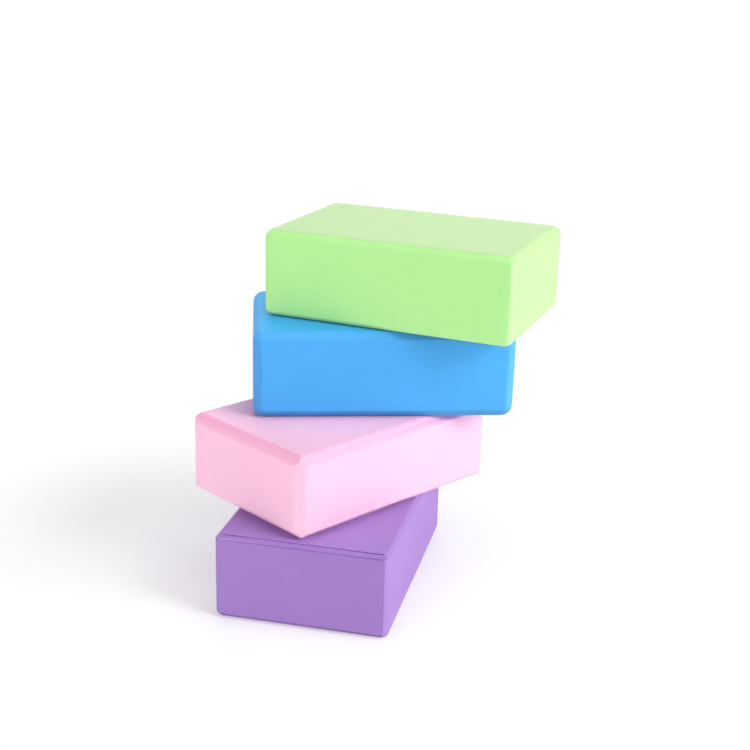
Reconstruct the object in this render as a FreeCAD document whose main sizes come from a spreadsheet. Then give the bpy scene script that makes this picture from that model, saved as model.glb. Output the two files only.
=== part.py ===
# Stack of four foam yoga blocks, each turned on the one below.
# Millimetres and degrees, +Z up. The origin is the centre of the bottom block's lower face.
# +X runs to the viewer's right and +Y away from the viewer.
import FreeCAD, Part
import os
import Sketcher

# Sizes that the blocks share: one cutter cuts every outline.
SHARED = {
    "block_length": 228.0,
    "block_width": 148.0,
}

# Each block's own sizes, from the floor up.
# Each colour is sliced from its own sheet of foam, so each has its own thickness.
# The bevels are run along the edges by hand, so their widths differ from block to block.
# The corner radius rounds the three mitres in which the bevels meet at each corner.
# The arris radius is the sanding of every edge that is left, heaviest on the blue foam.
# A turn is about the block's upright middle line, in degrees, anticlockwise seen from above,
# and counts from the long sides lying along X.
# Right and back place that middle line from the stack's origin.
BLOCKS = {
    "purple": {
        "thickness": 76.0,
        "bevel": 3.3,
        "upright_bevel": 3.0,
        "corner_radius": 4.0,
        "arris_radius": 1.0,
        "turn_deg": 77.25,
        "right": 0.0,
        "back": 0.0,
    },
    "pink": {
        "thickness": 73.0,
        "bevel": 7.0,
        "upright_bevel": 7.5,
        "corner_radius": 3.0,
        "arris_radius": 1.5,
        "turn_deg": 44.25,
        "right": 3.5,
        "back": 25.0,
    },
    "blue": {
        "thickness": 77.5,
        "bevel": 6.0,
        "upright_bevel": 6.0,
        "corner_radius": 7.0,
        "arris_radius": 3.5,
        "turn_deg": 5.25,
        "right": 34.0,
        "back": 68.5,
    },
    "green": {
        "thickness": 77.5,
        "bevel": 4.5,
        "upright_bevel": 3.0,
        "corner_radius": 4.0,
        "arris_radius": 1.5,
        "turn_deg": -22.0,
        "right": 65.0,
        "back": 68.5,
    },
}

# The four corners of a section, as sides of its middle.
CORNERS = [(-1, -1), (1, -1), (1, 1), (-1, 1)]

# A sketch's own origin point, and the numbers of a line's first and last points.
ORIGIN = (-1, 1)
START, END = 1, 2


def make_sheet(doc):
    """Write every size into the sheet, one named cell each."""
    cells = dict(SHARED)
    for colour, sizes in BLOCKS.items():
        cells.update({f"{colour}_{name}": value for name, value in sizes.items()})
    sheet = doc.addObject("Spreadsheet::Sheet", "Sizes")
    for row, (name, value) in enumerate(cells.items(), start=1):
        sheet.set(f"A{row}", name)
        sheet.set(f"B{row}", str(value))
        sheet.setAlias(f"B{row}", name)
    doc.recompute()


def new_sketch(body, name, role):
    """Start a sketch on one of the body's own middle planes."""
    sketch = body.newObject("Sketcher::SketchObject", name)
    plane = next(item for item in body.Origin.OriginFeatures if item.Role == role)
    sketch.AttachmentSupport = [(plane, "")]
    sketch.MapMode = "FlatFace"
    return sketch


def bind(sketch, constraint, name, formula):
    """Add a sizing constraint and tie it to the sheet."""
    index = sketch.addConstraint(constraint)
    sketch.renameConstraint(index, name)
    sketch.setExpression(f"Constraints.{name}", formula)


def closed_outline(sketch, points):
    """Draw a closed run of straight lines and return their numbers."""
    lines = []
    for here, there in zip(points, points[1:] + points[:1]):
        segment = Part.LineSegment(FreeCAD.Vector(*here, 0), FreeCAD.Vector(*there, 0))
        lines.append(sketch.addGeometry(segment))
    for line, following in zip(lines, lines[1:] + lines[:1]):
        sketch.addConstraint(Sketcher.Constraint("Coincident", line, END, following, START))
    return lines


def hold_corner(sketch, line, sides, name, across, up):
    """Hold a line's first point at a corner of a centred section, half its sizes from the middle."""
    for kind, side, size in zip(("DistanceX", "DistanceY"), sides, (across, up)):
        ends = (*ORIGIN, line, START) if side > 0 else (line, START, *ORIGIN)
        bind(sketch, Sketcher.Constraint(kind, *ends, 1.0), f"{name}_{kind}", f"Sizes.{size} / 2")


def draw_plan(sketch, across, up):
    """Draw a centred rectangle with two opposite corners held by the sheet."""
    x, y = SHARED[across] / 2, SHARED[up] / 2
    lines = closed_outline(sketch, [(side_x * x, side_y * y) for side_x, side_y in CORNERS])
    for line in lines[0::2]:
        sketch.addConstraint(Sketcher.Constraint("Horizontal", line))
    for line in lines[1::2]:
        sketch.addConstraint(Sketcher.Constraint("Vertical", line))
    for number in (0, 2):
        hold_corner(sketch, lines[number], CORNERS[number], f"corner_{number}", across, up)


def draw_corner_cuts(sketch, sizes, across, up, bevel):
    """Draw the four triangles that a bevelling cutter takes off a section's corners."""
    for number, (side_x, side_y) in enumerate(CORNERS):
        x, y = side_x * sizes[across] / 2, side_y * sizes[up] / 2
        inward = (x - side_x * sizes[bevel], y)
        along = (x, y - side_y * sizes[bevel])
        flat, _, upright = closed_outline(sketch, [(x, y), inward, along])
        sketch.addConstraint(Sketcher.Constraint("Horizontal", flat))
        sketch.addConstraint(Sketcher.Constraint("Vertical", upright))
        sketch.addConstraint(Sketcher.Constraint("Equal", flat, upright))
        hold_corner(sketch, flat, (side_x, side_y), f"corner_{number}", across, up)
        leg = Sketcher.Constraint("Distance", flat, sizes[bevel])
        bind(sketch, leg, f"bevel_{number}", f"Sizes.{bevel}")


def cut_bevels(body, name, role, sizes, across, up, run, bevel):
    """Run the cutter along the four edges that are square to one middle plane."""
    sketch = new_sketch(body, f"{name}_section", role)
    draw_corner_cuts(sketch, sizes, across, up, bevel)
    cut = body.newObject("PartDesign::Pocket", name)
    cut.Profile = sketch
    cut.SideType = "Symmetric"
    cut.setExpression("Length", f"Sizes.{run}")
    return cut


def is_bevel(face):
    """Tell a sloping bevel from a face that is square to the block."""
    normal = face.normalAt(0, 0)
    return max(abs(normal.x), abs(normal.y), abs(normal.z)) < 0.9


def mitre_edges(shape):
    """Name the short edges in which two bevels meet at a corner."""
    names = []
    for number, edge in enumerate(shape.Edges, start=1):
        if all(is_bevel(face) for face in shape.ancestorsOfType(edge, Part.Face)):
            names.append(f"Edge{number}")
    return names


def make_block(doc, colour):
    """Pad the plan, bevel the twelve edges in three passes, round the corners, soften the arrises."""
    length, width = "block_length", "block_width"
    thickness, bevel, upright = (f"{colour}_{name}" for name in ("thickness", "bevel", "upright_bevel"))
    sizes = {**SHARED, **{f"{colour}_{name}": value for name, value in BLOCKS[colour].items()}}
    body = doc.addObject("PartDesign::Body", f"{colour}_block")
    body.Label = f"{colour}_block"

    plan = new_sketch(body, f"{colour}_plan", "XY_Plane")
    draw_plan(plan, length, width)
    slab = body.newObject("PartDesign::Pad", f"{colour}_slab")
    slab.Profile = plan
    slab.SideType = "Symmetric"
    slab.setExpression("Length", f"Sizes.{thickness}")

    cut_bevels(body, f"{colour}_long_bevels", "YZ_Plane", sizes, width, thickness, length, bevel)
    cut_bevels(body, f"{colour}_short_bevels", "XZ_Plane", sizes, length, thickness, width, bevel)
    last = cut_bevels(body, f"{colour}_upright_bevels", "XY_Plane", sizes, length, width, thickness, upright)
    doc.recompute()

    corners = body.newObject("PartDesign::Fillet", f"{colour}_corners")
    corners.Base = (last, mitre_edges(last.Shape))
    corners.setExpression("Radius", f"Sizes.{colour}_corner_radius")
    doc.recompute()

    arrises = body.newObject("PartDesign::Fillet", f"{colour}_arrises")
    arrises.Base = (corners, [])
    arrises.UseAllEdges = True
    arrises.setExpression("Radius", f"Sizes.{colour}_arris_radius")
    return body


def place_block(body, colour, below):
    """Lay a block on the ones below it, shifted and turned about its own middle."""
    heights = [f"Sizes.{other}_thickness" for other in below]
    heights.append(f"Sizes.{colour}_thickness / 2")
    upright = FreeCAD.Rotation(FreeCAD.Vector(0, 0, 1), BLOCKS[colour]["turn_deg"])
    body.Placement = FreeCAD.Placement(FreeCAD.Vector(), upright)
    body.setExpression("Placement.Base.x", f"Sizes.{colour}_right")
    body.setExpression("Placement.Base.y", f"Sizes.{colour}_back")
    body.setExpression("Placement.Base.z", " + ".join(heights))
    body.setExpression("Placement.Rotation.Angle", f"Sizes.{colour}_turn_deg")


def check(doc, bodies):
    """Stop if a feature failed or a block is not one valid solid."""
    for item in doc.Objects:
        if "Invalid" in item.State or "Error" in item.State:
            raise RuntimeError(f"{item.Name} failed: {item.State}")
    for body in bodies:
        if body.Shape.isNull() or not body.Shape.isValid() or len(body.Shape.Solids) != 1:
            raise RuntimeError(f"{body.Label} is not one valid solid")


def main():
    """Build the stack from the floor up and write one file per block."""
    os.makedirs("parts", exist_ok=True)
    doc = FreeCAD.newDocument("yoga_block_stack")
    make_sheet(doc)
    bodies = []
    colours = list(BLOCKS)
    for number, colour in enumerate(colours):
        body = make_block(doc, colour)
        place_block(body, colour, colours[:number])
        bodies.append(body)
    doc.recompute()
    check(doc, bodies)
    for body in bodies:
        body.Shape.exportStep(f"parts/{body.Label}.step")
        print(f"{body.Label}: {body.Shape.Volume:.0f} mm3, {len(body.Shape.Faces)} faces")


main()
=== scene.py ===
"""Looks of a stack of foam yoga blocks: meshes, foam finishes, studio light and camera.

Everything is in metres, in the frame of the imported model: +Z up, +X to the viewer's right,
+Y away from the viewer, and the origin under the middle of the bottom block.
"""
import logging
import math
from collections.abc import Iterator
from contextlib import contextmanager
from dataclasses import dataclass
from enum import Enum
from itertools import product
from typing import ClassVar

import bpy
from mathutils import Matrix, Vector


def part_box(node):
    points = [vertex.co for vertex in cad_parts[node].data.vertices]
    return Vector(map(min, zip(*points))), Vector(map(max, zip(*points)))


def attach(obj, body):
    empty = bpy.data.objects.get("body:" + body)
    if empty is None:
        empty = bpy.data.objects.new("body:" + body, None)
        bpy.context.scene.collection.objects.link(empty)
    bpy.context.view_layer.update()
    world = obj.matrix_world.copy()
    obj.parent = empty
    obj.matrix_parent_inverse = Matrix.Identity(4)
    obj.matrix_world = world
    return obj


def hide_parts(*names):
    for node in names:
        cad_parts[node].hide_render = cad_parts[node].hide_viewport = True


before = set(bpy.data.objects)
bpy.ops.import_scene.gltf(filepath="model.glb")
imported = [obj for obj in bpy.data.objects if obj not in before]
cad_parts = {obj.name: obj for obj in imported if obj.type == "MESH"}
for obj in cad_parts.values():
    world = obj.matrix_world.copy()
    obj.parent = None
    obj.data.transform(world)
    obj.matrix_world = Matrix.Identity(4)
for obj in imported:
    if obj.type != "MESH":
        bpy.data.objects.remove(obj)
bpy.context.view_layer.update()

LOG = logging.getLogger("yoga_blocks")
MM = 0.001

# The curve by which screens turn written colour values into light.
CURVE_KNEE = 0.04045
CURVE_SLOPE = 12.92
CURVE_OFFSET = 0.055
CURVE_POWER = 2.4


class CutterRun(Enum):
    """The three ways in which the bevelling cutter runs, by the two axes that it slopes between."""

    LENGTHWISE = (1, 2)
    CROSSWISE = (0, 2)
    UPRIGHT = (0, 1)

    def slopes(self) -> Iterator[Vector]:
        """Yield the outward slopes of the four bevels that this run leaves.

        Returns:
            Vectors with 1 or -1 along the run's two axes and 0 along the edge itself.
        """
        for signs in product((-1.0, 1.0), repeat=2):
            slope = Vector((0.0, 0.0, 0.0))
            for axis, sign in zip(self.value, signs):
                slope[axis] = sign
            yield slope

    def edge(self) -> Vector:
        """Give the way along the edges that this run follows."""
        return Vector(float(axis not in self.value) for axis in range(3))


class Attribute(Enum):
    """Names of the mesh data that the foam finish reads."""

    LYING = "lying_face"
    BEVEL = "bevel_cut"
    BRUISE = "bevel_bruise"
    # Painted highlight on the bevels that face the key lamps, and paler foam beside some grooves' left
    # ends.
    POLISH = "bevel_polish"
    # Painted shade on the lower and left-hand bevels, and in the grooves toward their ends.
    GRIME = "bevel_grime"


def linear(code: str) -> tuple[float, float, float, float]:
    """Turn a written colour into the shader's light values.

    Args:
        code: Six hexadecimal digits, red, green and blue, as on a colour card.

    Returns:
        Linear red, green, blue and an alpha of one.
    """
    light = []
    for place in (0, 2, 4):
        channel = int(code[place:place + 2], 16) / 0xFF
        if channel <= CURVE_KNEE:
            light.append(channel / CURVE_SLOPE)
        else:
            light.append(((channel + CURVE_OFFSET) / (1.0 + CURVE_OFFSET)) ** CURVE_POWER)
    return (*light, 1.0)


class FoamSkin:
    """Shader node group of closed-cell foam: fine cells, soft mottling and smoother cut bevels."""

    NAME = "foam_skin"
    SOCKETS_IN = {
        "Cut colour": "NodeSocketColor",
        "Lying colour": "NodeSocketColor",
        "Mottle": "NodeSocketFloat",
        "Fleck": "NodeSocketFloat",
        "Lying": "NodeSocketFloat",
        "Bevel": "NodeSocketFloat",
        "Bruise": "NodeSocketFloat",
        "Polish": "NodeSocketFloat",
        "Grime": "NodeSocketFloat",
    }
    SOCKETS_OUT = {
        "Colour": "NodeSocketColor",
        "Roughness": "NodeSocketFloat",
        "Height": "NodeSocketFloat",
    }
    BLOTCHES_PER_M = 38.0
    GRAINS_PER_M = 420.0
    CELLS_PER_M = 950.0
    OCTAVES = 3.0
    TEXTURE_MIDDLE = 0.5
    FACE_ROUGHNESS = 0.72
    BEVEL_ROUGHNESS = 0.6
    GRAIN_ROUGHNESS = 0.1
    BRUISE_DIMNESS = 0.15
    # How much paler the painted highlight and the paling make the foam.
    POLISH_PALENESS = 0.5

    def __init__(self) -> None:
        """Build the group's sockets and nodes."""
        self.tree = bpy.data.node_groups.new(self.NAME, "ShaderNodeTree")
        for name, kind in self.SOCKETS_IN.items():
            self.tree.interface.new_socket(name, in_out="INPUT", socket_type=kind)
        for name, kind in self.SOCKETS_OUT.items():
            self.tree.interface.new_socket(name, in_out="OUTPUT", socket_type=kind)
        self.given = self.tree.nodes.new("NodeGroupInput").outputs
        self.result = self.tree.nodes.new("NodeGroupOutput").inputs
        self.place = self.tree.nodes.new("ShaderNodeTexCoord").outputs["Object"]
        grains = self._noise(self.GRAINS_PER_M)
        relief = self._math("ADD", grains, self._cells())
        self._wire_colour(relief)
        self._wire_roughness(grains)
        self.tree.links.new(relief, self.result["Height"])

    def _math(
        self,
        kind: str,
        first: bpy.types.NodeSocket | float,
        second: bpy.types.NodeSocket | float,
    ) -> bpy.types.NodeSocket:
        """Add one sum, product or like of two sockets or numbers.

        Args:
            kind: The Math node's operation.
            first: A socket or a number.
            second: A socket or a number.

        Returns:
            The result's socket.
        """
        node = self.tree.nodes.new("ShaderNodeMath")
        node.operation = kind
        for socket, value in zip(node.inputs, (first, second)):
            if isinstance(value, bpy.types.NodeSocket):
                self.tree.links.new(value, socket)
            else:
                socket.default_value = value
        return node.outputs[0]

    def _noise(self, scale: float) -> bpy.types.NodeSocket:
        """Add a noise around zero.

        Args:
            scale: Features per metre.

        Returns:
            A socket from about -0.5 to 0.5.
        """
        node = self.tree.nodes.new("ShaderNodeTexNoise")
        node.inputs["Scale"].default_value = scale
        node.inputs["Detail"].default_value = self.OCTAVES
        self.tree.links.new(self.place, node.inputs["Vector"])
        return self._math("SUBTRACT", node.outputs[0], self.TEXTURE_MIDDLE)

    def _cells(self) -> bpy.types.NodeSocket:
        """Add the foam's cells, as the distance from each cell's middle.

        Returns:
            A socket from about -0.5 to 0.5.
        """
        node = self.tree.nodes.new("ShaderNodeTexVoronoi")
        node.inputs["Scale"].default_value = self.CELLS_PER_M
        self.tree.links.new(self.place, node.inputs["Vector"])
        return self._math("SUBTRACT", node.outputs["Distance"], self.TEXTURE_MIDDLE)

    def _wire_colour(self, relief: bpy.types.NodeSocket) -> None:
        """Shade the foam's own colour, make it stronger on the upper bevels, and paint highlights,
        paler patches and shade onto others.

        Args:
            relief: Height of the cells and grains.
        """
        given, links = self.given, self.tree.links
        mottle = self._math("MULTIPLY", self._noise(self.BLOTCHES_PER_M), given["Mottle"])
        fleck = self._math("MULTIPLY", relief, given["Fleck"])
        shade = self._math("ADD", self._math("ADD", mottle, fleck), 1.0)
        dim = self._math("MULTIPLY", given["Bruise"], self.BRUISE_DIMNESS)
        # Painted highlight and paling, less painted shade.
        net_lightening = self._math("SUBTRACT", given["Polish"], given["Grime"])
        shade = self._math("ADD", shade, self._math("SUBTRACT", net_lightening, dim))
        pale = self._math("MULTIPLY", given["Polish"], self.POLISH_PALENESS)
        strength = self._math("ADD", self._math("SUBTRACT", given["Bruise"], pale), 1.0)

        # The lying faces take a lit copy of the foam's colour: painted light.
        colour = self.tree.nodes.new("ShaderNodeMixRGB")
        for name, socket in zip(("Lying", "Cut colour", "Lying colour"), colour.inputs):
            links.new(given[name], socket)
        tint = self.tree.nodes.new("ShaderNodeHueSaturation")
        links.new(colour.outputs["Color"], tint.inputs["Color"])
        links.new(strength, tint.inputs["Saturation"])
        links.new(shade, tint.inputs["Value"])
        links.new(tint.outputs["Color"], self.result["Colour"])

    def _wire_roughness(self, grains: bpy.types.NodeSocket) -> None:
        """Make the bevels smoother than the faces, and both uneven.

        Args:
            grains: Height of the grains.
        """
        sleek = self._math("MULTIPLY", self.given["Bevel"], self.BEVEL_ROUGHNESS - self.FACE_ROUGHNESS)
        rough = self._math("MULTIPLY", grains, self.GRAIN_ROUGHNESS)
        rough = self._math("ADD", self._math("ADD", rough, sleek), self.FACE_ROUGHNESS)
        self.tree.links.new(rough, self.result["Roughness"])


@dataclass(frozen=True)
class FoamFinish:
    """One colour of matte closed-cell foam.

    Attributes:
        name: Name of the material.
        cut_colour: Written colour of the foam's cut sides and bevels.
        lying_colour: Written colour of its lying faces: the same foam recoloured for how light falls
            on them, a painted lit copy of the cut colour.
        mottle: Share by which broad blotches lighten and darken the foam.
        fleck: Share by which cells and grains do.
        bump: Height of the cells.
        specular: Reflectance level of the foam's skin.
        sheen: Weight of the soft bloom at grazing angles.
        glow: Share of the light that enters the foam and comes out again beside the place.
        glow_reach: How far such light travels in the foam.
        glow_colours: Shares of that reach for red, green and blue light.
    """

    name: str
    cut_colour: str
    lying_colour: str
    mottle: float = 0.05
    fleck: float = 0.03
    bump: float = 0.05 * MM
    specular: float = 0.45
    sheen: float = 0.05
    glow: float = 0.35
    glow_reach: float = 3.0 * MM
    glow_colours: tuple[float, float, float] = (1.0, 1.0, 1.0)

    def material(self, skin: FoamSkin) -> bpy.types.Material:
        """Make the material from the shared foam skin.

        Args:
            skin: The node group that all foam finishes use.

        Returns:
            The finished material.
        """
        material = bpy.data.materials.new(self.name)
        material.use_nodes = True
        nodes, links = material.node_tree.nodes, material.node_tree.links
        shader = nodes["Principled BSDF"]
        shader.inputs["Specular IOR Level"].default_value = self.specular
        shader.inputs["Sheen Weight"].default_value = self.sheen
        shader.inputs["Subsurface Weight"].default_value = self.glow
        shader.inputs["Subsurface Scale"].default_value = self.glow_reach
        shader.inputs["Subsurface Radius"].default_value = self.glow_colours

        foam = nodes.new("ShaderNodeGroup")
        foam.node_tree = skin.tree
        foam.inputs["Cut colour"].default_value = linear(self.cut_colour)
        foam.inputs["Lying colour"].default_value = linear(self.lying_colour)
        foam.inputs["Mottle"].default_value = self.mottle
        foam.inputs["Fleck"].default_value = self.fleck
        for attribute in Attribute:
            mark = nodes.new("ShaderNodeAttribute")
            mark.attribute_name = attribute.value
            links.new(mark.outputs["Fac"], foam.inputs[attribute.name.capitalize()])

        relief = nodes.new("ShaderNodeBump")
        relief.inputs["Distance"].default_value = self.bump
        links.new(foam.outputs["Height"], relief.inputs["Height"])
        links.new(foam.outputs["Colour"], shader.inputs["Base Color"])
        links.new(foam.outputs["Roughness"], shader.inputs["Roughness"])
        links.new(relief.outputs["Normal"], shader.inputs["Normal"])
        return material


@dataclass(frozen=True)
class BevelCut:
    """The bevels that one run of the cutter leaves on a block.

    Attributes:
        leg: How far the bevel reaches along each of its two faces.
        under: How much less a lower bevel does.
        kerf: Depth of the groove along the bevel's borders.
        hollow: Depth of the bevel's hollow, as a share of its width.
        deepening: Share by which the upper bevels are more strongly coloured and a little darker.
        bruise_fade: Share of that which is lost at the bevel's lower border.
        polish: Share by which the right-hand bevels, facing the key lamps, are painted brighter and
            paler: a painted highlight.
        grime: Share by which the lower bevels and the left-hand upright bevels, turned away from the
            lamps, are painted darker: painted shade.
        burr: Height of the raised line that the cutter leaves where the bevel meets the side.
        soil: Share by which the grooves' floors are painted darker toward their ends: painted shade in
            the groove.
        scuff: Share by which the foam beside an upper bevel's lower groove is paler at its left end.
        kerf_wall: Run of the groove's steep wall.
        kerf_floor: Width of the groove's floor.
        GROOVE_LINES: How many of a profile's lines lie on the groove's floor.
        HOLLOW_LINES: Lines inside the groove, each by its share of the way from the bevel's
            middle to the groove and its share of the hollow's depth.
    """

    GROOVE_LINES: ClassVar[int] = 2
    HOLLOW_LINES: ClassVar[tuple[tuple[float, float], ...]] = ((0.6, 0.7), (0.25, 1.0))

    leg: float
    under: float = 0.0
    kerf: float = 0.0
    hollow: float = 0.0
    bruise: float = 0.0
    bruise_fade: float = 0.0
    polish: float = 0.0
    grime: float = 0.0
    burr: float = 0.0
    soil: float = 0.0
    scuff: float = 0.0
    kerf_wall: float = 0.15 * MM
    kerf_floor: float = 0.45 * MM

    def leg_on(self, slope: Vector) -> float:
        """Give the leg of the bevel that faces one way."""
        return self.leg - self.under if slope.z < 0.0 else self.leg

    def profile(self, slope: Vector, arris: float) -> dict[float, float]:
        """Work out the lines along a sanded bevel, from one border to its middle.

        Args:
            slope: The way that the bevel faces.
            arris: Width by which the bevel's arrises are softened.

        Returns:
            For each line's distance from the bevel's middle line, how deep it is sunk.
        """
        border = self.leg_on(slope) / math.sqrt(2.0) - arris
        wall = border - self.kerf_wall
        floor = wall - self.kerf_floor
        bank = floor - self.kerf_floor
        sunk = self.kerf / 2
        lines = {wall: self.kerf, floor: self.kerf, bank: sunk}
        for place, share in self.HOLLOW_LINES:
            lines[bank * place] = sunk + 2 * border * self.hollow * share
        return lines


@dataclass(frozen=True)
class BlockSizes:
    """Sizes of one foam block.

    Attributes:
        turn_deg: Turn about the upright, anticlockwise seen from above.
        cuts: The bevels that each run of the cutter leaves.
        corner_radius: Rounding of the mitres in which three bevels meet at a corner.
        arris: Width by which each arris is softened.
        length: Long side of the block.
        width: Short side of the block.
        rim_lift: How far the lower face's rim stands clear of what the block lies on.
        seat_lift: How far the rest of that face does, so that touching faces never cross.
        cut_step: Spacing of the cross cuts that let the faces waver.
        waver: How far the cut faces and bevels wander in and out.
        waver_span: Length over which they do.
    """

    turn_deg: float
    cuts: dict[CutterRun, BevelCut]
    corner_radius: float
    arris: float
    length: float = 228.0 * MM
    width: float = 148.0 * MM
    rim_lift: float = 0.1 * MM
    seat_lift: float = 0.02 * MM
    cut_step: float = 19.0 * MM
    waver: float = 0.5 * MM
    waver_span: float = 30.0 * MM


@dataclass(frozen=True)
class ScoredBevel:
    """Where the lines of one scored bevel lie on the unplaced block.

    Attributes:
        cut: The bevel's sizes.
        lines: For each line's distance from the bevel's middle line, how deep it is sunk.
        middle: The bevel's middle.
        outward: The way that the bevel faces.
        along: The way along its edge.
    """

    cut: BevelCut
    lines: dict[float, float]
    middle: Vector
    outward: Vector
    along: Vector

    @property
    def across(self) -> Vector:
        """The way across the bevel, from border to border."""
        return self.outward.cross(self.along)

    def on_lower_half(self, reach: Vector) -> bool:
        """Tell whether a place, given from the bevel's middle, is on an upper bevel's lower half."""
        return self.outward.z > 0.0 and reach.dot(self.across) * self.across.z < 0.0


class FoamBlock:
    """One foam block, cut from a blank, bevelled by passes of a cutter and sanded."""

    # How finely mitres and arrises are rounded, how sharp an arris is and how far a mitre turns.
    CORNER_SEGMENTS = 4
    ARRIS_SEGMENTS = 3
    ARRIS_ANGLE = math.radians(30.0)
    MITRE_TURN = math.radians(60.0)

    # The angle past which an edge is shaded as a crease.
    CREASE = math.radians(40.0)

    # By which parts of its normal a face is square, in line with a bevel, tilted or true to an edge.
    SQUARE = 0.9
    ALIGNED = 0.999
    TILTED = 0.3
    TRUE = 0.01

    # The strip of each arris, by its tilt, that carries the burr.
    BURR_TILT = math.radians(22.5)
    BURR_SPREAD = math.radians(5.0)
    BURR_WALL_SHARE = 0.2

    # How near a vertex lies to a line, and how steeply the painted shade and paling gather at a
    # groove's ends.
    NEAR = 0.01 * MM
    END_POWER = 3

    def __init__(self, colour: str, sizes: BlockSizes, finish: FoamFinish) -> None:
        """Take the block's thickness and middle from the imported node.

        Args:
            colour: Colour word that names the block's node, body and material slot.
            sizes: The block's sizes.
            finish: The foam's finish.
        """
        self.colour = colour
        self.sizes = sizes
        self.finish = finish
        low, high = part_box(self.node)
        self.centre = (low + high) / 2
        self.size = Vector((sizes.length, sizes.width, high.z - low.z))

    @property
    def node(self) -> str:
        """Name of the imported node, and of its body."""
        return f"{self.colour}_block"

    def build(self) -> bpy.types.Object:
        """Model the block as on a bench, from blank to sanded block.

        Returns:
            The block's object, at the origin, with its place in its mesh.
        """
        self.saw_blank()
        self.run_cutter()
        self.round_corners()
        self.sand_arrises()
        self.mark_faces()
        self.raise_burrs()
        self.score_bevels()
        self.add_cross_cuts()
        self.sink_lines()
        self.lift_rim()
        self.place()
        self.waver_faces()
        self.shade()
        return self.piece

    @contextmanager
    def _editing(self, *, edges: bool = False) -> Iterator[None]:
        """Hold the piece's mesh in edit mode.

        Args:
            edges: Whether edges are worked on, rather than faces.

        Returns:
            Nothing; edit mode ends with the block of code.
        """
        bpy.context.tool_settings.mesh_select_mode = (False, edges, not edges)
        bpy.ops.object.mode_set(mode="EDIT")
        yield
        bpy.ops.object.mode_set(mode="OBJECT")

    def _deselect(self) -> None:
        """Deselect the whole mesh."""
        for items in (self.piece.data.vertices, self.piece.data.edges, self.piece.data.polygons):
            items.foreach_set("select", [False] * len(items))

    def _finish_with(self, kind: str, **settings: object) -> None:
        """Add a modifier, set it and apply it.

        Args:
            kind: The modifier's type.
            settings: Its properties.
        """
        bpy.ops.object.modifier_add(type=kind)
        modifier = self.piece.modifiers[-1]
        for name, value in settings.items():
            setattr(modifier, name, value)
        bpy.ops.object.modifier_apply(modifier=modifier.name)

    def _turned(self, way: Vector) -> Vector:
        """Turn a way on the unplaced block as the block itself is turned."""
        return Matrix.Rotation(math.radians(self.sizes.turn_deg), 3, "Z") @ way

    def _slopes(self, face: bpy.types.MeshPolygon) -> bool:
        """Tell a bevel from a face that is square to the block."""
        return max(abs(part) for part in face.normal) < self.SQUARE

    def _run_along(self, face: bpy.types.MeshPolygon) -> CutterRun | None:
        """Find the cutter's run that left a face.

        Args:
            face: A face of the piece.

        Returns:
            The run, or none for a face that is square to the block.
        """
        for run in CutterRun:
            if min(abs(face.normal[axis]) for axis in run.value) > self.TILTED:
                return run
        return None

    def _bevel_middle(self, slope: Vector, cut: BevelCut) -> Vector:
        """Find the middle of the bevel that a cut leaves on the side of one slope."""
        edge = Vector(side * size / 2 for side, size in zip(slope, self.size))
        return edge - slope * cut.leg_on(slope) / 2

    def saw_blank(self) -> None:
        """Add the plain blank at its size."""
        bpy.ops.object.select_all(action="DESELECT")
        bpy.ops.mesh.primitive_cube_add(size=1.0, scale=self.size)
        self.piece = bpy.context.active_object
        self.piece.name = f"{self.colour}_foam_block"
        self.piece.data.name = self.piece.name
        bpy.ops.object.transform_apply(location=False, rotation=False, scale=True)

    def run_cutter(self) -> None:
        """Slice the bevel off each of the twelve edges."""
        with self._editing():
            for run, cut in self.sizes.cuts.items():
                for slope in run.slopes():
                    bpy.ops.mesh.select_all(action="SELECT")
                    bpy.ops.mesh.bisect(
                        plane_co=self._bevel_middle(slope, cut),
                        plane_no=slope,
                        use_fill=True,
                        clear_outer=True,
                    )

    def round_corners(self) -> None:
        """Round the short mitres in which the bevels meet."""
        mesh = self.piece.data
        sides: dict[tuple[int, int], list[bool]] = {}
        for face in mesh.polygons:
            for key in face.edge_keys:
                sides.setdefault(key, []).append(self._slopes(face))
        self._deselect()
        for edge in mesh.edges:
            edge.select = all(sides[edge.key])
        with self._editing(edges=True):
            bpy.ops.mesh.bevel(
                offset=self.sizes.corner_radius * math.tan(self.MITRE_TURN / 2),
                segments=self.CORNER_SEGMENTS,
                affect="EDGES",
            )

    def sand_arrises(self) -> None:
        """Soften every arris."""
        self._finish_with(
            "BEVEL",
            width=self.sizes.arris,
            segments=self.ARRIS_SEGMENTS,
            limit_method="ANGLE",
            angle_limit=self.ARRIS_ANGLE,
            use_clamp_overlap=False,
        )

    def _marks(self, face: bpy.types.MeshPolygon, height: float) -> dict[Attribute, float]:
        """Work out what the finish needs to know of a place on the block.

        Args:
            face: A face of the piece.
            height: Height of one of its corners.

        Returns:
            A value for each kind of mark.
        """
        marks = dict.fromkeys(Attribute, 0.0)
        marks[Attribute.LYING] = float(abs(face.normal.z) > self.SQUARE)
        marks[Attribute.BEVEL] = float(self._slopes(face))
        run = self._run_along(face)
        if run:
            cut = self.sizes.cuts[run]
            way = self._turned(face.normal)
            # Bevels that face the viewer's right, toward the key lamps, get a painted highlight.
            if way.x > 0.0:
                marks[Attribute.POLISH] = cut.polish
            # Upper bevels are more strongly coloured and a little darker, less so toward their lower
            # border.
            if way.z > self.TILTED:
                below = min((self.size.z / 2 - height) / cut.leg, 1.0)
                marks[Attribute.BRUISE] = cut.bruise * (1.0 - cut.bruise_fade * below)
            # Lower bevels, and the left-hand upright bevels, turned away from the lamps, get painted
            # shade.
            if way.z < -self.TILTED or (run is CutterRun.UPRIGHT and way.x < 0.0):
                marks[Attribute.GRIME] = cut.grime
        return marks

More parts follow.
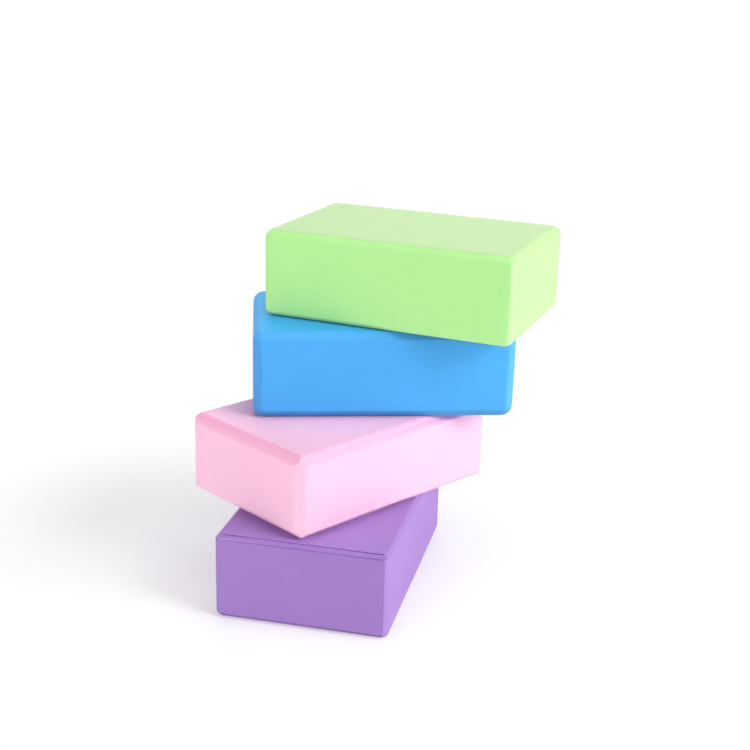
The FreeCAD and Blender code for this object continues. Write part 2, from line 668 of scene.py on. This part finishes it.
    def mark_faces(self) -> None:
        """Mark the lying faces and the bevels for the finish."""
        mesh = self.piece.data
        marks = {attribute: [0.0] * len(mesh.vertices) for attribute in Attribute}
        for face in mesh.polygons:
            for corner in face.vertices:
                for attribute, value in self._marks(face, mesh.vertices[corner].co.z).items():
                    marks[attribute][corner] = max(marks[attribute][corner], value)
        for attribute, values in marks.items():
            mesh.attributes.new(attribute.value, "FLOAT", "POINT").data.foreach_set("value", values)

    def raise_burrs(self) -> None:
        """Raise a fine line of foam along the arrises between the bevels and the sides."""
        for run in (CutterRun.LENGTHWISE, CutterRun.CROSSWISE):
            burr = self.sizes.cuts[run].burr
            if not burr:
                continue
            side, upright = run.value
            self._deselect()
            for face in self.piece.data.polygons:
                tilt = math.atan2(abs(face.normal[upright]), abs(face.normal[side]))
                in_strip = abs(tilt - self.BURR_TILT) < self.BURR_SPREAD
                face.select = in_strip and abs(face.normal.dot(run.edge())) < self.TRUE
            with self._editing():
                bpy.ops.mesh.inset(thickness=self.BURR_WALL_SHARE * self.sizes.arris, depth=burr)

    def _scored(self) -> Iterator[ScoredBevel]:
        """Find the bevels that have a groove or a hollow.

        Returns:
            Each such bevel, with its lines.
        """
        for run, cut in self.sizes.cuts.items():
            if not cut.kerf and not cut.hollow:
                continue
            for slope in run.slopes():
                lines = cut.profile(slope, self.sizes.arris)
                middle = self._bevel_middle(slope, cut)
                yield ScoredBevel(cut, lines, middle, slope.normalized(), run.edge())

    def score_bevels(self) -> None:
        """Draw the lines of the grooves and hollows, each from end to end of its bevel."""
        for bevel in self._scored():
            for line in (*bevel.lines, *(-line for line in bevel.lines)):
                self._deselect()
                for face in self.piece.data.polygons:
                    face.select = face.normal.dot(bevel.outward) > self.ALIGNED
                with self._editing():
                    bpy.ops.mesh.bisect(
                        plane_co=bevel.middle + bevel.across * line,
                        plane_no=bevel.across,
                    )

    def _cross_cuts(self, axis: int) -> list[float]:
        """List where the even cross cuts fall along one axis of the block."""
        count = round(self.size[axis] / self.sizes.cut_step)
        return [self.size[axis] * (number / count - 0.5) for number in range(1, count)]

    def add_cross_cuts(self) -> None:
        """Cut the faces across at even steps, so that they can waver."""
        with self._editing():
            for axis in range(3):
                normal = Vector(float(axis == other) for other in range(3))
                for place in self._cross_cuts(axis):
                    bpy.ops.mesh.select_all(action="SELECT")
                    bpy.ops.mesh.bisect(plane_co=normal * place, plane_no=normal)

    def _wear_line(self, bevel: ScoredBevel, vertex: bpy.types.MeshVertex, number: int) -> None:
        """Paint shade on a groove's floor, and make the foam beside it paler, the more the nearer to
        its ends.

        Args:
            bevel: The bevel that the groove is on.
            vertex: A vertex on one of its lines, not yet sunk.
            number: The line's place in the bevel's profile, counted from the border.
        """
        reach = vertex.co - bevel.middle
        half = self.size.dot(bevel.along) / 2
        near_end = abs(reach.dot(bevel.along) / half) ** self.END_POWER
        marks = self.piece.data.attributes
        # The groove's floor lines get painted shade, the more the nearer to its ends.
        if number < bevel.cut.GROOVE_LINES:
            marks[Attribute.GRIME.value].data[vertex.index].value += bevel.cut.soil * near_end
        # Beside an upper bevel's lower groove, the foam is paler toward its left end.
        elif number == bevel.cut.GROOVE_LINES and bevel.on_lower_half(reach):
            if self._turned(vertex.co).x < 0.0:
                marks[Attribute.POLISH.value].data[vertex.index].value += bevel.cut.scuff * near_end

    def sink_lines(self) -> None:
        """Sink the scored lines, and paint shade and paling on them toward their ends."""
        for bevel in self._scored():
            for vertex in self.piece.data.vertices:
                reach = vertex.co - bevel.middle
                if abs(reach.dot(bevel.outward)) > self.NEAR:
                    continue
                for number, (line, depth) in enumerate(bevel.lines.items()):
                    if abs(abs(reach.dot(bevel.across)) - line) < self.NEAR:
                        self._wear_line(bevel, vertex, number)
                        vertex.co -= bevel.outward * depth

    def lift_rim(self) -> None:
        """Let the lower face's rim, outside its last cross cuts, stand clear of what is below."""
        low = -self.size.z / 2
        reach = self.sizes.cuts[CutterRun.LENGTHWISE].leg
        last = [self._cross_cuts(axis)[-1] + self.sizes.waver for axis in range(2)]
        for vertex in self.piece.data.vertices:
            outside = any(abs(vertex.co[axis]) > last[axis] for axis in range(2))
            lift = self.sizes.rim_lift if outside else self.sizes.seat_lift
            vertex.co.z += lift * max(0.0, 1.0 - (vertex.co.z - low) / reach)

    def place(self) -> None:
        """Turn the block and set it where its node is."""
        self.piece.location = self.centre
        self.piece.rotation_euler.z = math.radians(self.sizes.turn_deg)
        bpy.ops.object.transform_apply(location=True, rotation=True, scale=True)

    def waver_faces(self) -> None:
        """Let the cut sides and bevels wander slightly, with the lying faces kept flat."""
        reach = self.size.z / 2 - self.sizes.arris
        sides = [v.index for v in self.piece.data.vertices if abs(v.co.z - self.centre.z) < reach]
        loose = self.piece.vertex_groups.new(name="loose")
        loose.add(sides, 1.0, "REPLACE")
        swell = bpy.data.textures.new(f"{self.colour}_waver", "CLOUDS")
        swell.noise_scale = self.sizes.waver_span
        self._finish_with(
            "DISPLACE",
            texture=swell,
            texture_coords="LOCAL",
            strength=self.sizes.waver,
            vertex_group=loose.name,
        )
        self.piece.vertex_groups.clear()

    def shade(self) -> None:
        """Shade the sanded rounds smooth, the faces flat and the grooves crisp."""
        bpy.ops.object.shade_smooth_by_angle(angle=self.CREASE)
        self._finish_with("WEIGHTED_NORMAL", keep_sharp=True)

    def dress(self, skin: FoamSkin) -> None:
        """Give the block its finish and tell the frame what it stands for.

        Args:
            skin: The node group that all foam finishes use.
        """
        self.piece.data.materials.clear()
        self.piece.data.materials.append(self.finish.material(skin))
        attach(self.piece, self.node)
        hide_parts(self.node)


@dataclass(frozen=True)
class Lamp:
    """A soft square studio lamp.

    Attributes:
        name: Name of the lamp.
        place: Where it hangs.
        side: Side of its face.
        watts: Its power.
    """

    name: str
    place: tuple[float, float, float]
    side: float
    watts: float

    def hang(self, aim: tuple[float, float, float]) -> None:
        """Add the lamp to the scene.

        Args:
            aim: The point that it faces.
        """
        light = bpy.data.lights.new(self.name, "AREA")
        light.shape = "RECTANGLE"
        light.size = light.size_y = self.side
        light.energy = self.watts
        lamp = bpy.data.objects.new(self.name, light)
        bpy.context.scene.collection.objects.link(lamp)
        lamp.location = self.place
        ray = Vector(aim) - Vector(self.place)
        lamp.rotation_euler = ray.to_track_quat("-Z", "Y").to_euler()


@dataclass(frozen=True)
class Studio:
    """A white floor, soft lamps and the viewer's camera.

    Attributes:
        lamps: The studio's lamps.
        aim: The middle of the stack, which they face.
        ambient: Strength of the even light from all round.
        backdrop: Strength of the white that is seen behind everything.
        floor_span: Side of the square floor.
        floor_colour: Written colour of the floor.
        floor_roughness: Roughness of the floor.
        floor_specular: Reflectance level of the floor.
        shadow_middle: Middle of the patch of floor that shows the stack's shadow.
        shadow_fade: How far from there the floor starts and ends to turn plain white.
        shadow_haze: Share of plain white within that patch.
        eye: Where the camera stands.
        pitch_deg: How far it looks down.
        roll_deg: How far it is turned about its line of sight.
        lens_mm: Its focal length on a sensor of sensor_mm.
        sensor_mm: Width of its sensor.
        LEVEL_DEG: Turn that brings a camera from looking straight down to looking level.
    """

    LEVEL_DEG: ClassVar[float] = 90.0

    lamps: tuple[Lamp, ...]
    aim: tuple[float, float, float] = (0.03, 0.04, 0.16)
    ambient: float = 0.099
    backdrop: float = 1.0
    floor_span: float = 12.0
    floor_colour: str = "FFFFFF"
    floor_roughness: float = 1.0
    floor_specular: float = 0.0
    shadow_middle: tuple[float, float, float] = (-0.09, 0.02, 0.0)
    shadow_fade: tuple[float, float] = (0.15, 0.34)
    shadow_haze: float = 0.3
    eye: tuple[float, float, float] = (31.77 * MM, -1067.11 * MM, 541.39 * MM)
    pitch_deg: float = 18.365
    roll_deg: float = 1.56
    lens_mm: float = 62.184
    sensor_mm: float = 36.0

    @staticmethod
    def _seen(tree: bpy.types.NodeTree) -> bpy.types.NodeSocket:
        """Tell, in a material or the world, what is seen directly, mirrored or through glass.

        Args:
            tree: The node tree that asks.

        Returns:
            A socket of one for such a ray and zero for the light that falls on things.
        """
        path = tree.nodes.new("ShaderNodeLightPath")
        seen = path.outputs["Is Camera Ray"]
        for name in ("Is Glossy Ray", "Is Transmission Ray"):
            either = tree.nodes.new("ShaderNodeMath")
            either.operation = "MAXIMUM"
            tree.links.new(seen, either.inputs[0])
            tree.links.new(path.outputs[name], either.inputs[1])
            seen = either.outputs[0]
        return seen

    def _plain_share(self, tree: bpy.types.NodeTree) -> bpy.types.NodeSocket:
        """Work out how much of the floor is seen as plain white, which grows away from the stack.

        Args:
            tree: The floor material's node tree.

        Returns:
            A socket from the patch's haze to one, and zero for the light that falls on things.
        """
        middle = tree.nodes.new("ShaderNodeVectorMath")
        middle.operation = "DISTANCE"
        middle.inputs[1].default_value = self.shadow_middle
        tree.links.new(tree.nodes.new("ShaderNodeTexCoord").outputs["Object"], middle.inputs[0])
        fade = tree.nodes.new("ShaderNodeMapRange")
        fade.interpolation_type = "SMOOTHSTEP"
        fade.inputs["From Min"].default_value, fade.inputs["From Max"].default_value = self.shadow_fade
        fade.inputs["To Min"].default_value = self.shadow_haze
        tree.links.new(middle.outputs["Value"], fade.inputs["Value"])
        share = tree.nodes.new("ShaderNodeMath")
        share.operation = "MULTIPLY"
        tree.links.new(fade.outputs["Result"], share.inputs[0])
        tree.links.new(self._seen(tree), share.inputs[1])
        return share.outputs[0]

    def lay_floor(self) -> None:
        """Lay the floor that the stack stands on, which fades to plain white away from it."""
        bpy.ops.object.select_all(action="DESELECT")
        bpy.ops.mesh.primitive_plane_add(size=self.floor_span)
        floor = bpy.context.active_object
        floor.name = "floor"
        material = bpy.data.materials.new("white_floor")
        material.use_nodes = True
        tree = material.node_tree
        shader = tree.nodes["Principled BSDF"]
        shader.inputs["Base Color"].default_value = linear(self.floor_colour)
        shader.inputs["Roughness"].default_value = self.floor_roughness
        shader.inputs["Specular IOR Level"].default_value = self.floor_specular

        plain = tree.nodes.new("ShaderNodeEmission")
        both = tree.nodes.new("ShaderNodeMixShader")
        parts = (self._plain_share(tree), shader.outputs[0], plain.outputs[0])
        for part, socket in zip(parts, both.inputs):
            tree.links.new(part, socket)
        tree.links.new(both.outputs[0], tree.nodes["Material Output"].inputs["Surface"])
        floor.data.materials.append(material)

    def light_world(self) -> None:
        """Light the scene evenly from all round, and show white where nothing stands."""
        world = bpy.data.worlds.new("studio_white")
        bpy.context.scene.world = world
        world.use_nodes = True
        tree = world.node_tree
        shell = tree.nodes["Background"]
        shell.inputs["Color"].default_value = (1.0, 1.0, 1.0, 1.0)
        strength = tree.nodes.new("ShaderNodeMapRange")
        strength.inputs["To Min"].default_value = self.ambient
        strength.inputs["To Max"].default_value = self.backdrop
        tree.links.new(self._seen(tree), strength.inputs["Value"])
        tree.links.new(strength.outputs["Result"], shell.inputs["Strength"])

    def stand_camera(self) -> None:
        """Stand the camera where the viewer is."""
        lens = bpy.data.cameras.new("viewer")
        lens.sensor_fit = "HORIZONTAL"
        lens.sensor_width = self.sensor_mm
        lens.lens = self.lens_mm
        camera = bpy.data.objects.new("viewer", lens)
        bpy.context.scene.collection.objects.link(camera)
        tilt = Matrix.Rotation(math.radians(self.LEVEL_DEG - self.pitch_deg), 4, "X")
        roll = Matrix.Rotation(math.radians(self.roll_deg), 4, "Z")
        camera.matrix_world = Matrix.Translation(self.eye) @ tilt @ roll
        bpy.context.scene.camera = camera

    def set_up(self) -> None:
        """Put the whole studio in place."""
        self.lay_floor()
        self.light_world()
        for lamp in self.lamps:
            lamp.hang(self.aim)
        self.stand_camera()
        bpy.context.scene.view_settings.view_transform = "Standard"


LAMPS = (
    Lamp("low_key", (2.15, -0.33, 0.62), side=0.7, watts=10.6),
    Lamp("key", (1.84, -0.80, 1.09), side=1.2, watts=25.0),
    Lamp("high_key", (1.41, -1.12, 1.42), side=0.8, watts=13.4),
    Lamp("front_fill", (-1.66, -1.33, 0.47), side=1.6, watts=33.2),
    Lamp("top", (0.11, 0.04, 2.36), side=1.6, watts=18.1),
    Lamp("back", (0.03, 1.95, 1.26), side=1.6, watts=19.2),
)


def purple_block() -> FoamBlock:
    """Describe the bottom block, with a deep groove along the borders of its end bevels.

    Returns:
        The block, not yet built.
    """
    cuts = {
        CutterRun.LENGTHWISE: BevelCut(3.3 * MM),
        CutterRun.CROSSWISE: BevelCut(
            4.2 * MM,
            kerf=0.9 * MM,
            bruise=0.04,
            burr=0.2 * MM,
            # Painted shade in the grooves toward their ends, and paler foam beside the left end of the
            # lower groove.
            soil=0.6,
            scuff=0.9,
            kerf_wall=0.1 * MM,
            kerf_floor=0.35 * MM,
        ),
        # Painted highlight on the right-hand upright bevels, painted shade on the left-hand ones.
        CutterRun.UPRIGHT: BevelCut(3.0 * MM, polish=0.12, grime=0.1),
    }
    sizes = BlockSizes(turn_deg=77.25, cuts=cuts, corner_radius=4.0 * MM, arris=0.25 * MM)
    finish = FoamFinish("purple_foam", "9B77BE", "9C77C0", mottle=0.08, glow=0.2)
    return FoamBlock("purple", sizes, finish)


def pink_block() -> FoamBlock:
    """Describe the second block, with the widest bevels, which are hollow, and more strongly coloured
    on the upper ones.

    Returns:
        The block, not yet built.
    """
    cuts = {
        CutterRun.LENGTHWISE: BevelCut(
            7.0 * MM,
            under=1.7 * MM,
            hollow=0.03,
            bruise=0.15,
            burr=0.3 * MM,
        ),
        CutterRun.CROSSWISE: BevelCut(
            7.0 * MM,
            kerf=0.2 * MM,
            hollow=0.05,
            bruise=0.26,
            bruise_fade=0.6,
        ),
        CutterRun.UPRIGHT: BevelCut(7.5 * MM),
    }
    sizes = BlockSizes(turn_deg=44.25, cuts=cuts, corner_radius=2.0 * MM, arris=1.6 * MM)
    finish = FoamFinish("pink_foam", "F7C0DA", "F8BED9")
    return FoamBlock("pink", sizes, finish)


def blue_block() -> FoamBlock:
    """Describe the third block, with the roundest corners and a slightly shiny skin.

    Returns:
        The block, not yet built.
    """
    cuts = {
        # Painted shade on the lower bevels and the left-hand upright bevels, painted highlight on the
        # right-hand upright ones.
        CutterRun.LENGTHWISE: BevelCut(6.0 * MM, grime=0.2, burr=0.15 * MM),
        CutterRun.CROSSWISE: BevelCut(6.0 * MM, grime=0.2),
        CutterRun.UPRIGHT: BevelCut(6.0 * MM, kerf=0.2 * MM, polish=0.06, grime=0.12),
    }
    sizes = BlockSizes(turn_deg=5.25, cuts=cuts, corner_radius=7.0 * MM, arris=2.0 * MM)
    finish = FoamFinish("blue_foam", "3FA2E4", "32A8F0", mottle=0.1, specular=0.6, sheen=0.0)
    return FoamBlock("blue", sizes, finish)


def green_block() -> FoamBlock:
    """Describe the top block, whose rim stands a little clear of the block below.

    Returns:
        The block, not yet built.
    """
    cuts = {
        CutterRun.LENGTHWISE: BevelCut(
            4.5 * MM,
            under=0.7 * MM,
            kerf=0.2 * MM,
            hollow=0.03,
            burr=0.1 * MM,
        ),
        CutterRun.CROSSWISE: BevelCut(4.5 * MM),
        # Painted highlight on the right-hand upright bevels, painted shade on the left-hand ones.
        CutterRun.UPRIGHT: BevelCut(3.0 * MM, polish=0.08, grime=0.06),
    }
    sizes = BlockSizes(
        turn_deg=-22.0,
        cuts=cuts,
        corner_radius=5.0 * MM,
        arris=1.3 * MM,
        rim_lift=0.5 * MM,
    )
    finish = FoamFinish("green_foam", "B0E994", "B0D394")
    return FoamBlock("green", sizes, finish)


def main() -> None:
    """Build and dress the blocks from the floor up, then set up the studio."""
    logging.basicConfig(level=logging.INFO, format="%(name)s: %(message)s")
    skin = FoamSkin()
    for block in (purple_block(), pink_block(), blue_block(), green_block()):
        piece = block.build()
        block.dress(skin)
        LOG.info("%s: %d faces, rides on %s", piece.name, len(piece.data.polygons), block.node)
    Studio(LAMPS).set_up()


if __name__ == "__main__":
    main()
